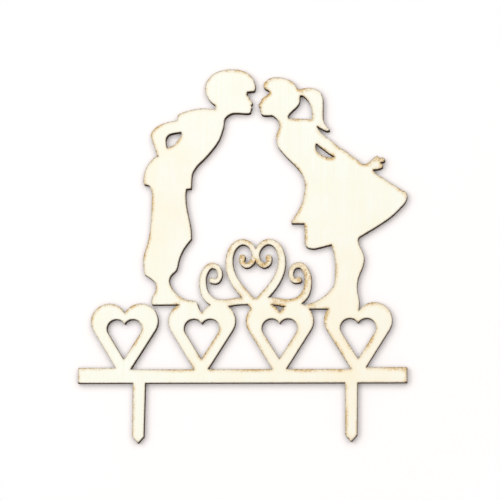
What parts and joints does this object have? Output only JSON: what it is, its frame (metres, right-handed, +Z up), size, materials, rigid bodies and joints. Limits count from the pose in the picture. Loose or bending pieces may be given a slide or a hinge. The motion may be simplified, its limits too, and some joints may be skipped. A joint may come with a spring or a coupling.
{
  "type": "cake topper",
  "caption": "Flat pierced plywood cake topper: a boy and a girl in profile lean together over a row of open hearts and a scroll, on a bar with pointed stakes that push into the cake.",
  "frame": {"origin": "middle of the bar's underside, at half the sheet's thickness, where the bar rests on the cake", "axes": "+Z up along the standing topper, +X along the bar towards the girl, +Y from the front face to the back face"},
  "size_m": [0.14, 0.003, 0.1626],
  "materials": {
    "front_veneer": "bare pale veneer, sanded smooth, browned along the laser-cut edges",
    "glue_line": "thin dark line of set adhesive, charred on the cut walls",
    "core_veneer": "bare veneer with its grain across that of the faces, charred on the cut walls",
    "back_veneer": "bare pale veneer, a little yellower than the front"
  },
  "bodies": {
    "root": {"front_veneer": "front_veneer", "front_glue_line": "glue_line", "core_veneer": "core_veneer", "rear_glue_line": "glue_line", "back_veneer": "back_veneer"}
  },
  "joints": []
}
